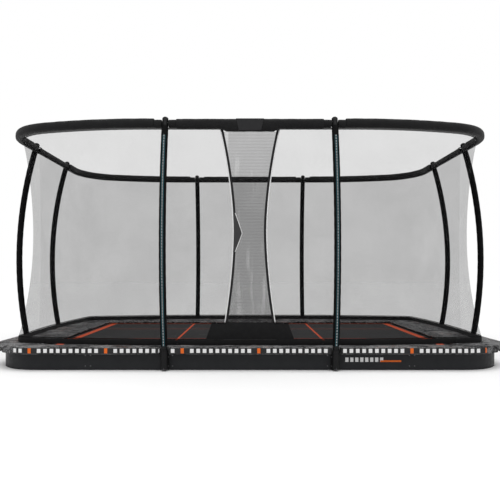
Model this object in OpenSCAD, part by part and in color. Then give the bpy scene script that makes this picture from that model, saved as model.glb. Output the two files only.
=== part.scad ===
// Rectangular in-ground trampoline with a safety net on eight bowed posts.
// Frame: X along the length, Y across, Z up, origin on the floor under the
// middle. The entrance side faces -Y. Millimetres.

/* [Wall and frame] */
// outer length of the low wall
wall_l = 5000; // [4500:5500]
// outer width of the low wall
wall_w = 3000; // [2700:3300]
// outer corner radius of the wall
wall_r = 450; // [300:600]
// height of the wall
wall_h = 156; // [120:220]
// thickness of the wall sheet
wall_t = 2; // [1.5:3]
// distance of the first wall seam from the middle
seam_in = 715; // [600:800]
// distance of the second wall seam from the middle
seam_out = 1545; // [1300:1700]
// diameter of the frame tube
rail_d = 50; // [40:60]
// distance of the end frame's joint from the middle
rail_joint = 1600; // [1200:1900]

/* [Mat and springs] */
// thickness of the jumping mat
mat_t = 3; // [2:5]
// height of the mat's top face
mat_z = 175; // [160:190]
// gap between the frame tube's centre line and the mat's edge
mat_gap = 215; // [190:240]
// outer diameter of a spring
spring_d = 20; // [16:26]
// distance between two springs
spring_pitch = 125; // [90:160]

/* [Pads] */
// how far the pads reach outside the wall
pad_over = 80; // [50:100]
// half length of the opening in the pads
pad_in_l = 2080; // [1900:2150]
// half width of the opening in the pads
pad_in_w = 1212; // [1150:1230]
// height of the pads' outer lower edge
pad_z = 160; // [158:170]
// height of the pads' outer upper edge
pad_top = 228; // [215:240]
// height of the pads' inner upper edge
pad_low = 203; // [195:212]
// width of a notch for a post
notch_w = 92; // [86:110]

/* [Posts] */
// outer diameter of the steel post
post_d = 55; // [50:60]
// outer diameter of the post's fabric sleeve
sleeve_d = 65; // [62:72]
// outer diameter of the socket under a post
socket_d = 66; // [62:80]
// top of the plug that holds a post from inside
plug_top = 350; // [280:450]
// bow radius of a post
post_r = 4450; // [4000:5000]
// height of the bow's outermost point
bow_z = 1070; // [900:1200]
// top of a post with its cap
post_top = 2420; // [2300:2500]
// half distance between the two posts of a long side
post_x = 811; // [700:900]
// half distance between the two posts of a short side
post_y = 495; // [450:560]
// distance of a long side's feet outside the ring's line
long_out = 60; // [40:90]
// distance of a short side's feet outside the ring's line
short_out = 108; // [80:130]
// height of a foot's lower end above the floor
foot_gap = 16; // [0:40]

/* [Top ring] */
// height of the ring's centre line
ring_z = 2352; // [2250:2400]
// half width of the ring
ring_w = 1490; // [1420:1520]
// half length of the ring
ring_l = 2455; // [2400:2480]
// where the ring's long side starts to bend
ring_bend = 985; // [960:1100]
// bend radius of the ring's long side
ring_r = 3900; // [3000:4000]
// corner radius of the ring
ring_corner = 552; // [350:640]
// outer diameter of the padded ring sleeve
ring_d = 84; // [72:90]
// outer diameter of the ring sleeve beside a post
ring_neck_d = 76; // [66:84]
// outer diameter of the ring tube
tube_d = 40; // [34:44]

/* [Net] */
// height of the net's lower edge
net_z = 277; // [270:300]
// height of the net's upper edge
net_top = 2312; // [2250:2330]
// half width of the net's foot
foot_w = 1420; // [1380:1450]
// half length of the net's foot
foot_l = 2440; // [2400:2460]
// inward pull of the net's corners at half height
net_pull = 130; // [0:200]
// thickness of the net
net_t = 3; // [2:4]
// half width of the entrance at the top
gap_top = 262; // [200:300]
// half width of the entrance at its waist
gap_waist = 138; // [110:180]
// height of the waist
waist_z = 1330; // [1200:1450]
// half width of the entrance at the bottom
gap_low = 250; // [200:300]
// how far the flap reaches past the entrance edges
flap_over = 45; // [30:80]

/* [Hidden] */
$fn = 48;

steel = "#2b2c2e";
black = "#1b1b1c";
cloth = "#262628";
mesh_grey = "#8b8d90";
zinc = "#a9adb2";
big = 4 * wall_l;
e = 0.01;

// frame tube
rail_in = rail_d / 2 + 5;
rail_x = wall_l / 2 - rail_in;
rail_y = wall_w / 2 - rail_in;
rail_r = wall_r - rail_in;
rail_z = wall_h - rail_d / 2;
rail_wall = 2;

// mat
mat_x = rail_x - mat_gap;
mat_y = rail_y - mat_gap;
mat_r = rail_r - mat_gap;
loop_r = 12;
loop_wire = 5;

// posts
kink_z = 185;
arc_x = -sqrt(post_r * post_r - pow(bow_z - kink_z, 2));
cap_r = post_d / 2 + 1.5;
cap_z = post_top - 2 - cap_r * 0.557;
post_wall = 2;
post_z = 205;
sleeve_z = 238;
spigot_d = 34;
spigot_l = 300;
neck_gap = 36;

// ring
ring_turn = asin((ring_l - ring_bend - ring_corner) / (ring_r - ring_corner));
hem_in = 30;
tube_wall = 2.4;
neck_l = 70;

// a quarter outline: half width, half length, straight run, bend radius, bend
// angle, second straight run, corner radius
ring_path = [ring_w, ring_l, ring_bend, ring_r, ring_turn, 0, ring_corner];
hem_path = [ring_w - hem_in, ring_l - hem_in, ring_bend, ring_r - hem_in,
    ring_turn, 0, ring_corner - hem_in];

// the net's foot: a smooth quarter outline through these points
foot_pts = [[0, -foot_w], [600, -foot_w], [1150, 10 - foot_w], [1700, 88 - foot_w],
    [2120, 160 - foot_w], [foot_l - 135, 200 - foot_w], [foot_l - 70, 270 - foot_w],
    [foot_l - 48, -950], [foot_l - 18, -500], [foot_l, 0]];
foot_m = len(foot_pts) - 1;
foot_len = [for (i = 0, d = 0; i <= foot_m; i = i + 1,
    d = d + (i > foot_m ? 0 : norm(foot_pts[i] - foot_pts[i - 1]))) d];
function mirrored(i) = i < 0 ? [-foot_pts[-i][0], foot_pts[-i][1]]
    : i > foot_m ? [foot_pts[2 * foot_m - i][0], -foot_pts[2 * foot_m - i][1]]
    : foot_pts[i];
function spline(i, u) = let (a = mirrored(i - 1), b = mirrored(i), c = mirrored(i + 1),
    d = mirrored(i + 2)) 0.5 * (2 * b + u * (c - a)
    + u * u * (2 * a - 5 * b + 4 * c - d) + u * u * u * (3 * b - a - 3 * c + d));
function foot_at(s, i = 0) = i == foot_m - 1 || s <= foot_len[i + 1]
    ? spline(i, (s - foot_len[i]) / (foot_len[i + 1] - foot_len[i]))
    : foot_at(s, i + 1);

function rad(a) = a * PI / 180;
function s1(p) = p[2];
function s2(p) = s1(p) + p[3] * rad(p[4]);
function s3(p) = s2(p) + p[5];
function s4(p) = s3(p) + p[6] * rad(90 - p[4]);
function corner_y(p) = -p[0] + p[3] * (1 - cos(p[4])) + p[5] * sin(p[4])
    + p[6] * cos(p[4]);
function s5(p) = s4(p) - corner_y(p);
function bend_end(p) = [p[2] + p[3] * sin(p[4]),
    -p[0] + p[3] * (1 - cos(p[4]))];
function heading(p, s) =
    s < s1(p) ? 0 :
    s < s2(p) ? (s - s1(p)) / rad(1) / p[3] :
    s < s3(p) ? p[4] :
    s < s4(p) ? p[4] + (s - s3(p)) / rad(1) / p[6] : 90;
function quarter(p, s) =
    let (a = heading(p, s))
    s < s1(p) ? [s, -p[0]] :
    s < s2(p) ? [p[2] + p[3] * sin(a), -p[0] + p[3] * (1 - cos(a))] :
    s < s3(p) ? bend_end(p) + (s - s2(p)) * [cos(a), sin(a)] :
    s < s4(p) ? [p[1] - p[6] + p[6] * sin(a), corner_y(p) - p[6] * cos(a)] :
    [p[1], corner_y(p) + s - s4(p)];

// t runs 0 to 1 from the middle of the front to the middle of the side, and on
// to 2 at the middle of the back
function along(p, t) = t <= 1 ? quarter(p, t * s5(p)) :
    let (q = quarter(p, (2 - t) * s5(p))) [q[0], -q[1]];
function foot_along(t) = t <= 1 ? foot_at(t * foot_len[foot_m]) :
    let (q = foot_at((2 - t) * foot_len[foot_m])) [q[0], -q[1]];
function side_t(p, y) = 1 - y / s5(p);
function unit(v) = v / norm(v);
function outward(t) = t < 0.002 ? [0, -1] : t > 1.998 ? [0, 1]
    : let (d = unit(foot_along(t + 0.002) - foot_along(t - 0.002))) [d[1], -d[0]];

// the net's middle face
corner_t = (s3(ring_path) + s4(ring_path)) / 2 / s5(ring_path);
pull_span = 0.13;
net_h = net_top - net_z;
function pull(t, h) = let (k = (min(t, 2 - t) - corner_t) / pull_span)
    net_pull * pow(sin(180 * h), 0.8) * exp(-k * k);
function net_at(t, h) = (1 - h) * foot_along(t) + h * along(hem_path, t)
    + pull(t, h) * [-0.7, t < 1 ? 0.7 : -0.7];
function net_out(t, h) = let (d = unit(net_at(t + 0.004, h)
    - net_at(t - 0.004, h))) [d[1], -d[0]];
function waist(k) = gap_waist + (k < 0 ? gap_top - gap_waist
    : gap_low - gap_waist) * pow(abs(k), 1.75);
function gap(z) = waist((waist_z - z) / (z > waist_z ? net_top - waist_z
    : waist_z - net_z));
function gap_t(h) = gap(net_z + h * net_h) / s5(hem_path);
net_lean = atan((foot_w - ring_w + hem_in) / net_h);

// places every copy of a quarter's piece
module four() {
    for (m = [0, 1]) {
        for (n = [0, 1]) {
            mirror([m, 0, 0]) mirror([0, n, 0]) children();
        }
    }
}

// ---- low wall ----

module slab(l, w, r, h) {
    translate([0, 0, h / 2]) cube([l, w - 2 * r, h], center = true);
    translate([0, 0, h / 2]) cube([l - 2 * r, w, h], center = true);
    four() translate([l / 2 - r, w / 2 - r, 0]) cylinder(h = h, r = r, $fn = 96);
}

module wall_ring() {
    difference() {
        slab(wall_l, wall_w, wall_r, wall_h);
        translate([0, 0, -1])
            slab(wall_l - 2 * wall_t, wall_w - 2 * wall_t, wall_r - wall_t, wall_h + 2);
        front_holes();
        mirror([0, 1, 0]) front_holes();
    }
}

bolt_d = 8;
bolt_head = 13;
bolt_zs = [38, 140];
bolt_xs = [seam_in + 25, seam_out - 22, seam_out + 27];

module bolt_places() {
    for (m = [0, 1], x = bolt_xs, z = bolt_zs) {
        mirror([m, 0, 0]) translate([x, -wall_w / 2, z]) children();
    }
}

module front_holes() {
    bolt_places() rotate([90, 0, 0])
        cylinder(h = 60, d = bolt_d + 0.6, center = true, $fn = 24);
}

module bolt() {
    rotate([90, 0, 0]) cylinder(h = 5, d = bolt_head, $fn = 32);
    rotate([-90, 0, 0]) cylinder(h = 14, d = bolt_d, $fn = 24);
}

module wall_part(x0, x1, y0, y1) {
    color(steel) intersection() {
        wall_ring();
        translate([x0, y0, -1]) cube([x1 - x0, y1 - y0, wall_h + 2]);
    }
}

module wall_front() { wall_part(-seam_in, seam_in, -big, 0); }
module wall_back() { wall_part(-seam_in, seam_in, 0, big); }
module wall_front_right() { wall_part(seam_in, seam_out, -big, 0); }
module wall_front_left() { mirror([1, 0, 0]) wall_front_right(); }
module wall_back_right() { wall_part(seam_in, seam_out, 0, big); }
module wall_back_left() { mirror([1, 0, 0]) wall_back_right(); }
module wall_end_front_right() { wall_part(seam_out, big, -big, 0); }
module wall_end_front_left() { mirror([1, 0, 0]) wall_end_front_right(); }
module wall_end_back_right() { wall_part(seam_out, big, 0, big); }
module wall_end_back_left() { mirror([1, 0, 0]) wall_end_back_right(); }

module wall_bolts() {
    color(zinc) bolt_places() bolt();
    color(zinc) mirror([0, 1, 0]) bolt_places() bolt();
}

// ---- frame tube under the pads ----

module tube_y(l, d, w) {
    rotate([90, 0, 0]) difference() {
        cylinder(h = l, d = d, center = true);
        cylinder(h = l + 2, d = d - 2 * w, center = true);
    }
}

module tube_bend(r, a, d, w) {
    rotate_extrude(angle = a, $fn = 96) translate([r, 0]) difference() {
        circle(d = d);
        circle(d = d - 2 * w);
    }
}

module frame_front() {
    color(steel) difference() {
        translate([0, -rail_y, rail_z]) rotate([0, 0, 90])
            tube_y(2 * rail_joint, rail_d, rail_wall);
        front_holes();
    }
}

module frame_back() { mirror([0, 1, 0]) frame_front(); }

module frame_right() {
    stub = rail_x - rail_r - rail_joint;
    color(steel) translate([0, 0, rail_z]) {
        translate([rail_x, 0, 0]) tube_y(2 * (rail_y - rail_r), rail_d, rail_wall);
        for (m = [0, 1]) {
            mirror([0, m, 0]) {
                translate([rail_x - rail_r, rail_y - rail_r, 0])
                    tube_bend(rail_r, 90, rail_d, rail_wall);
                translate([rail_joint + stub / 2, rail_y, 0]) rotate([0, 0, 90])
                    tube_y(stub, rail_d, rail_wall);
            }
        }
    }
}

module frame_left() { mirror([1, 0, 0]) frame_right(); }

module foot() {
    translate([0, 0, 2]) cube([90, 50, 4], center = true);
    difference() {
        translate([0, 0, 4]) cylinder(h = rail_z - 4, d = 38);
        translate([0, 0, 10]) cylinder(h = rail_z, d = 33);
        translate([0, 0, rail_z]) rotate([0, 90, 0])
            cylinder(h = 60, d = rail_d + 0.4, center = true);
    }
}

module frame_feet() {
    color(steel) {
        four() for (x = [450, 1250, 2000]) {
            translate([x, rail_y, 0]) foot();
        }
        four() translate([rail_x, 350, 0]) rotate([0, 0, 90]) foot();
    }
}

// ---- mat, its rings and the springs ----

module mat() {
    color(cloth) translate([0, 0, mat_z - mat_t])
        slab(2 * mat_x, 2 * mat_y, mat_r, mat_t);
}

// one place per spring: on the mat's edge, X pointing outward
module spring_places() {
    nx = floor((mat_x - mat_r) / spring_pitch);
    ny = floor((mat_y - mat_r) / spring_pitch);
    for (m = [0, 1], i = [-nx:nx]) {
        mirror([0, m, 0]) translate([i * spring_pitch, mat_y, 0])
            rotate([0, 0, 90]) children();
    }
    for (m = [0, 1], i = [-ny:ny]) {
        mirror([m, 0, 0]) translate([mat_x, i * spring_pitch, 0]) children();
    }
    four() for (a = [22.5, 45, 67.5]) {
        translate([mat_x - mat_r, mat_y - mat_r, 0]) rotate([0, 0, a])
            translate([mat_r, 0, 0]) children();
    }
}

module mat_rings() {
    color(zinc) spring_places()
        translate([loop_r + loop_wire / 2 + 0.3, 0, mat_z - mat_t / 2])
        difference() {
            cylinder(h = loop_wire, r = loop_r + loop_wire / 2, center = true, $fn = 32);
            cylinder(h = big, r = loop_r - loop_wire / 2, center = true, $fn = 32);
        }
}

spring_in = 2 * loop_r + loop_wire + 3;
spring_end = mat_gap - rail_d / 2 - 2;
spring_fall = 30;
spring_tilt = atan(spring_fall / (spring_end - spring_in));

module springs() {
    color(zinc) spring_places()
        translate([spring_in, 0, mat_z - mat_t / 2]) rotate([0, 90 + spring_tilt, 0])
        cylinder(h = (spring_end - spring_in) / cos(spring_tilt) - 2, d = spring_d, $fn = 24);
}

// ---- pads ----

// cross-section of a pad, u outward from the inner edge, v up
module pad_section(w) {
    polygon([[0, pad_low - 18], [0, pad_low - 6], [6, pad_low],
        [w - 10, pad_top], [w, pad_top - 8], [w, pad_z],
        [w - pad_over - 62, pad_z], [w - pad_over - 62, pad_low - 18]]);
}

module pad_long(w) {
    rotate([90, 0, 90]) translate([0, 0, -big / 2]) linear_extrude(big)
        pad_section(w);
}

module pad_plan(a, b, c, d) {
    translate([0, 0, pad_z - 60]) linear_extrude(200) polygon([a, b, c, d]);
}

module notches() {
    for (m = [0, 1], n = [0, 1]) {
        mirror([m, 0, 0]) mirror([0, n, 0]) {
            notch(post_x, foot_y, 90);
            notch(foot_x, post_y, 0);
        }
    }
}

module notch(x, y, a) {
    translate([x, y, pad_z - 20]) rotate([0, 0, a]) {
        cylinder(h = 200, d = notch_w);
        translate([0, -notch_w / 2, 0]) cube([200, notch_w, 200]);
    }
}

pad_out_x = wall_l / 2 + pad_over;
pad_out_y = wall_w / 2 + pad_over;

module pad_edge() {
    translate([0, 0, pad_z - 50])
        slab(2 * pad_out_x, 2 * pad_out_y, wall_r + pad_over, 200);
}

module pad_back() {
    color(cloth) difference() {
        intersection() {
            translate([0, pad_in_w, 0]) pad_long(pad_out_y - pad_in_w);
            pad_edge();
            pad_plan([-pad_in_l, pad_in_w], [pad_in_l, pad_in_w],
                [pad_out_x, pad_out_y], [-pad_out_x, pad_out_y]);
        }
        notches();
    }
}

module pad_front() { mirror([0, 1, 0]) pad_back(); }

module pad_right() {
    color(cloth) difference() {
        intersection() {
            translate([pad_in_l, 0, 0]) rotate([0, 0, -90])
                pad_long(pad_out_x - pad_in_l);
            pad_edge();
            pad_plan([pad_in_l, -pad_in_w], [pad_out_x, -pad_out_y],
                [pad_out_x, pad_out_y], [pad_in_l, pad_in_w]);
        }
        notches();
    }
}

module pad_left() { mirror([1, 0, 0]) pad_right(); }

// ---- posts: built with the foot's centre on the Z axis, +X outward ----

function bow_at(z) = arc_x + sqrt(post_r * post_r - pow(z - bow_z, 2));

// the lean, about the kink, that brings a post's top to 9 mm outside the ring
top_out = 9;
function tilt(out) = atan((top_out - out - bow_at(ring_z)) / (ring_z - kink_z));

module leaning(out) {
    translate([0, 0, kink_z]) rotate([0, tilt(out), 0]) translate([0, 0, -kink_z])
        children();
}

// a tube or bar bent to the post's line
module bow(z0, z1) {
    a0 = asin((z0 - bow_z) / post_r);
    a1 = asin((z1 - bow_z) / post_r);
    translate([arc_x, 0, bow_z]) rotate([90, 0, 0]) rotate([0, 0, a0])
        rotate_extrude(angle = a1 - a0, $fn = 720) translate([post_r, 0])
        children();
}

module post(out) {
    difference() {
        leaning(out) bow(post_z, cap_z - 6) hollow(post_d, post_d - 2 * post_wall);
        translate([-out, 0, ring_z]) rotate([90, 0, 0])
            cylinder(h = 400, d = spigot_d + 0.6, center = true);
    }
}

module post_sleeve(out) {
    leaning(out) bow(sleeve_z, ring_z - spigot_d / 2 - 2)
        hollow(sleeve_d, post_d + 0.6);
}

bracket_zs = [38, 125];

collar_d = 72;
plug_d = post_d - 2 * post_wall - 0.6;

module socket(out, gap) {
    translate([0, 0, foot_gap]) linear_extrude(kink_z - 10 - foot_gap)
        hollow(socket_d, socket_d - 6);
    translate([0, 0, kink_z - 14]) cylinder(h = 26, d = collar_d);
    leaning(out) bow(kink_z + 2, plug_top) hollow(plug_d, plug_d - 6);
    translate([-gap + 2, 0, 78]) cube([4, 90, 140], center = true);
    difference() {
        for (z = bracket_zs) {
            translate([-gap / 2, 0, z]) cube([gap - 4, 14, 26], center = true);
        }
        cylinder(h = kink_z, d = socket_d - 3);
    }
}

module socket_bolt_set(gap) {
    for (s = [-1, 1], z = bracket_zs) {
        translate([-gap + 4, s * 33, z]) rotate([0, 90, 0])
            cylinder(h = 5, d = bolt_head, $fn = 32);
    }
    translate([socket_d / 2 + 0.1, 0, 22]) rotate([0, 90, 0])
        cylinder(h = 5, d = bolt_head, $fn = 32);
}

module post_cap(out) {
    r = cap_r;
    leaning(out) translate([bow_at(cap_z), 0, cap_z]) rotate([0, -asin((cap_z - bow_z) / post_r), 0]) {
        difference() {
            translate([0, 0, -28]) cylinder(h = 30, r = r);
            translate([0, 0, -29]) cylinder(h = 25, d = post_d + 0.8);
        }
        translate([0, 0, 2]) intersection() {
            translate([0, 0, -r * 0.62]) sphere(r = r * 1.177);
            cylinder(h = 2 * r, r = r);
        }
    }
}

foot_y = ring_w + long_out;
foot_x = ring_l + short_out;

module at_long(m) {
    mirror([m, 0, 0]) translate([post_x, -foot_y, 0]) rotate([0, 0, -90]) children();
}

module at_short(m) {
    mirror([0, m, 0]) translate([foot_x, -post_y, 0]) children();
}

module long_posts() {
    for (m = [0, 1], n = [0, 1]) {
        mirror([0, n, 0]) at_long(m) children();
    }
}

module short_posts() {
    for (m = [0, 1], n = [0, 1]) {
        mirror([n, 0, 0]) at_short(m) children();
    }
}

module post_front_right() { color(black) at_long(0) post(long_out); }
module post_front_left() { color(black) at_long(1) post(long_out); }
module post_back_right() { color(black) mirror([0, 1, 0]) at_long(0) post(long_out); }
module post_back_left() { color(black) mirror([0, 1, 0]) at_long(1) post(long_out); }
module post_right_front() { color(black) at_short(0) post(short_out); }
module post_right_back() { color(black) at_short(1) post(short_out); }
module post_left_front() { color(black) mirror([1, 0, 0]) at_short(0) post(short_out); }
module post_left_back() { color(black) mirror([1, 0, 0]) at_short(1) post(short_out); }

module post_sleeves() {
    color(black) long_posts() post_sleeve(long_out);
    color(black) short_posts() post_sleeve(short_out);
}

module post_sockets() {
    color(black) long_posts() socket(long_out, foot_y - wall_w / 2);
    color(black) short_posts() socket(short_out, foot_x - wall_l / 2);
}

module socket_bolts() {
    color(zinc) long_posts() socket_bolt_set(foot_y - wall_w / 2);
    color(zinc) short_posts() socket_bolt_set(foot_x - wall_l / 2);
}

module post_caps() {
    color(black) long_posts() post_cap(long_out);
    color(black) short_posts() post_cap(short_out);
}

// ---- top ring ----

module spigot() {
    rotate([90, 0, 0]) difference() {
        cylinder(h = spigot_l, d = spigot_d, center = true);
        cylinder(h = spigot_l + 2, d = spigot_d - 5, center = true);
    }
}

module ring_spigots() {
    color(black) {
        long_posts() translate([-long_out, 0, ring_z]) spigot();
        short_posts() translate([-short_out, 0, ring_z]) spigot();
    }
}

module hollow(d, b) {
    difference() {
        circle(d = d, $fn = 48);
        circle(d = b, $fn = 48);
    }
}

module run_x(x0, x1, d, b) {
    translate([x0, -ring_w, ring_z]) rotate([90, 0, 90]) linear_extrude(x1 - x0)
        hollow(d, b);
}

module run_y(y0, y1, d, b) {
    translate([ring_l, y0, ring_z]) rotate([-90, 0, 0]) linear_extrude(y1 - y0)
        hollow(d, b);
}

// the bowed section of a long side, from its joint with the corner section
module bowed_run(x0, d, b) {
    run_x(x0, ring_bend, d, b);
    translate([ring_bend, ring_r - ring_w, ring_z]) rotate([0, 0, -90])
        rotate_extrude(angle = ring_turn, $fn = 360) translate([ring_r, 0])
        hollow(d, b);
}

module corner_run(y1, d, b) {
    joint = 0.1;
    translate([ring_l - ring_corner, corner_y(ring_path), ring_z])
        rotate_extrude(angle = ring_turn + joint - 90, $fn = 96)
        translate([ring_corner, 0]) hollow(d, b);
    run_y(corner_y(ring_path), y1, d, b);
}

sleeve_bore = tube_d + 0.6;
neck_end = neck_gap + neck_l;

module corner_sleeve() {
    color(cloth) {
        bowed_run(post_x + neck_end, ring_d, sleeve_bore);
        corner_run(-post_y - neck_end, ring_d, sleeve_bore);
    }
}

module long_sleeve() {
    end = post_x - neck_end;
    color(cloth) run_x(-end, end, ring_d, sleeve_bore);
}

module short_sleeve() {
    end = post_y - neck_end;
    color(cloth) run_y(-end, end, ring_d, sleeve_bore);
}

// thinner collars over the fittings beside each post
module ring_collars() {
    slack = 0.2;
    color(cloth) four() {
        run_x(post_x + neck_gap, post_x + neck_end - slack, ring_neck_d, sleeve_bore);
        run_x(post_x - neck_end + slack, post_x - neck_gap, ring_neck_d, sleeve_bore);
        run_y(-post_y - neck_end + slack, -post_y - neck_gap, ring_neck_d, sleeve_bore);
        run_y(neck_gap - post_y, neck_end - post_y - slack, ring_neck_d, sleeve_bore);
    }
}

module ring_tubes() {
    bore = tube_d - 2 * tube_wall;
    color(black) {
        for (m = [0, 1]) {
            mirror([0, m, 0])
                run_x(neck_gap - post_x, post_x - neck_gap, tube_d, bore);
            mirror([m, 0, 0])
                run_y(neck_gap - post_y, post_y - neck_gap, tube_d, bore);
        }
        four() {
            bowed_run(post_x + neck_gap, tube_d, bore);
            corner_run(-post_y - neck_gap, tube_d, bore);
        }
    }
}

module ring_sleeve_front() { long_sleeve(); }
module ring_sleeve_back() { mirror([0, 1, 0]) long_sleeve(); }
module ring_sleeve_right() { short_sleeve(); }
module ring_sleeve_left() { mirror([1, 0, 0]) short_sleeve(); }
module ring_sleeve_front_right() { corner_sleeve(); }
module ring_sleeve_front_left() { mirror([1, 0, 0]) corner_sleeve(); }
module ring_sleeve_back_right() { mirror([0, 1, 0]) corner_sleeve(); }
module ring_sleeve_back_left() { mirror([0, 1, 0]) ring_sleeve_front_left(); }

// plain badge, wider at the top, in front of the ring
badge_top = 145;
badge_low = 115;
badge_z = 2282;
badge_h = 112;
badge_t = 4;

module ring_badge() {
    color(steel) translate([0, -ring_w - ring_d / 2 - 0.3, badge_z])
        rotate([90, 0, 0]) linear_extrude(badge_t)
        polygon([[-badge_low, 0], [badge_low, 0], [badge_top, badge_h],
            [-badge_top, badge_h]]);
}

// ---- net ----

net_rows = 8;

// a net panel between two stations, its first edge given by a row's station
module panel(starts, t1, cols) {
    t_of = function(i, j) starts[j] + (t1 - starts[j]) * i / cols;
    point = function(i, j, s)
        let (h = j / net_rows, t = t_of(i, j), p = net_at(t, h), n = net_out(t, h))
        [p[0] + s * n[0] * net_t / 2, p[1] + s * n[1] * net_t / 2, net_z + h * net_h];
    w = cols + 1;
    count = w * (net_rows + 1);
    at = function(i, j, s) s * count + j * w + i;
    points = [for (s = [0, 1], j = [0:net_rows], i = [0:cols]) point(i, j, 1 - 2 * s)];
    skins = [for (s = [0, 1], j = [0:net_rows - 1], i = [0:cols - 1])
        let (a = at(i, j, s), b = at(i + 1, j, s), c = at(i + 1, j + 1, s),
            d = at(i, j + 1, s))
        each s == 0 ? [[a, c, b], [a, d, c]] : [[a, b, c], [a, c, d]]];
    ends = [for (i = [0, cols], j = [0:net_rows - 1])
        let (a = at(i, j, 0), b = at(i, j, 1), c = at(i, j + 1, 1), d = at(i, j + 1, 0))
        each i == 0 ? [[a, b, c], [a, c, d]] : [[a, c, b], [a, d, c]]];
    edges = [for (j = [0, net_rows], i = [0:cols - 1])
        let (a = at(i, j, 0), b = at(i + 1, j, 0), c = at(i + 1, j, 1), d = at(i, j, 1))
        each j == 0 ? [[a, b, c], [a, c, d]] : [[a, c, b], [a, d, c]]];
    color(mesh_grey) polyhedron(points, concat(skins, ends, edges));
}

function even(t) = [for (j = [0:net_rows]) t];
seam_t = side_t(hem_path, post_y);

module net_front_right() {
    panel([for (j = [0:net_rows]) gap_t(j / net_rows)], seam_t, 30);
}

module net_front_left() { mirror([1, 0, 0]) net_front_right(); }
module net_right() { panel(even(seam_t), 2 - seam_t, 6); }
module net_left() { mirror([1, 0, 0]) net_right(); }
module net_back_right() { panel(even(2 - seam_t), 2, 30); }
module net_back_left() { mirror([1, 0, 0]) net_back_right(); }

// ---- band at the net's foot ----

skirt_z = 222;
skirt_h = 54;
skirt_t = 4;
skirt_n = 96;

module skirt_right() {
    ts = [for (i = [0:skirt_n]) 2 * i / skirt_n];
    side = function(t, s) foot_along(t) + s * outward(t) * skirt_t / 2;
    color(cloth) translate([0, 0, skirt_z]) linear_extrude(skirt_h)
        intersection() {
            polygon(concat([for (t = ts) side(t, 1)],
                [for (i = [0:skirt_n]) side(ts[skirt_n - i], -1)]));
            translate([0, -big / 2]) square(big);
        }
}

module skirt_left() { mirror([1, 0, 0]) skirt_right(); }

toggle_ts = [0.197, 0.575, 1.0, 1.425, 1.803];

module skirt_toggles() {
    color(black) for (m = [0, 1], t = toggle_ts) {
        p = foot_along(t);
        n = outward(t);
        mirror([m, 0, 0])
            translate([p[0] + n[0] * 8, p[1] + n[1] * 8, skirt_z + 13])
            rotate([0, 0, atan2(n[1], n[0])]) cube([11, 16, 20], center = true);
    }
}

// ---- entrance, drawn in the plane of the front net ----

// u across, v up from the net's lower edge, out toward the outside
module on_front(out) {
    translate([0, -foot_w, net_z]) rotate([90 - net_lean, 0, 0])
        translate([0, 0, out]) children();
}

edge_n = 24;
function edge_z(i) = net_h * i / edge_n;
function gap_curve(off) = [for (i = [0:edge_n]) [gap(net_z + edge_z(i)) + off, edge_z(i)]];
function back(list) = [for (i = [len(list) - 1:-1:0]) list[i]];
panel_h = 175;
// clear of the net, whose foot curves a little outward
front_out = net_t / 2 + 1.3;

module entrance_edges() {
    color(black) for (m = [0, 1]) {
        mirror([m, 0, 0]) on_front(front_out) linear_extrude(4)
            difference() {
                polygon(concat(gap_curve(-4), back(gap_curve(22))));
                translate([0, -1]) square([big, panel_h - 4]);
            }
    }
}

module entrance_flap() {
    color(mesh_grey) on_front(-net_t / 2 - 5 - net_t) linear_extrude(net_t)
        intersection() {
            polygon(concat(gap_curve(flap_over),
                [for (q = back(gap_curve(flap_over))) [-q[0], q[1]]]));
            translate([-big / 2, 70]) square([big, net_h - 90]);
        }
}

panel_out = 430;
panel_mid = 245;

module entrance_panel() {
    color(black) on_front(front_out) linear_extrude(3.5)
        polygon([[-panel_out, 2], [panel_out, 2], [panel_out - 58, panel_h - 14],
            [panel_mid, panel_h - 14], [panel_mid - 30, panel_h - 5],
            [30 - panel_mid, panel_h - 5], [-panel_mid, panel_h - 14],
            [58 - panel_out, panel_h - 14]]);
}

tab_low = 900;
tab_mid = 1046;
tab_high = 1308;
tab_n = 10;

module pull_tab() {
    root = function(v) -gap(net_z + v) + 5;
    color(cloth) on_front(front_out) linear_extrude(3)
        polygon(concat([[root(tab_mid) + 52, tab_mid]],
            [for (i = [tab_n:-1:0]) let (v = tab_low + (tab_high - tab_low) * i / tab_n)
                [root(v), v]]));
}

frame_front();
frame_back();
frame_left();
frame_right();
frame_feet();
wall_front();
wall_back();
wall_front_left();
wall_front_right();
wall_back_left();
wall_back_right();
wall_end_front_left();
wall_end_front_right();
wall_end_back_left();
wall_end_back_right();
wall_bolts();
springs();
mat();
mat_rings();
pad_front();
pad_back();
pad_left();
pad_right();
post_front_left();
post_front_right();
post_right_front();
post_right_back();
post_back_right();
post_back_left();
post_left_back();
post_left_front();
post_sockets();
socket_bolts();
post_sleeves();
post_caps();
ring_spigots();
ring_tubes();
ring_sleeve_front();
ring_sleeve_back();
ring_sleeve_left();
ring_sleeve_right();
ring_sleeve_front_left();
ring_sleeve_front_right();
ring_sleeve_back_left();
ring_sleeve_back_right();
ring_collars();
ring_badge();
net_front_left();
net_front_right();
net_left();
net_right();
net_back_left();
net_back_right();
skirt_left();
skirt_right();
skirt_toggles();
entrance_panel();
entrance_flap();
entrance_edges();
pull_tab();
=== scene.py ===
"""Looks of the in-ground trampoline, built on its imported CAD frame. Metres, Z up."""

import math

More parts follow.
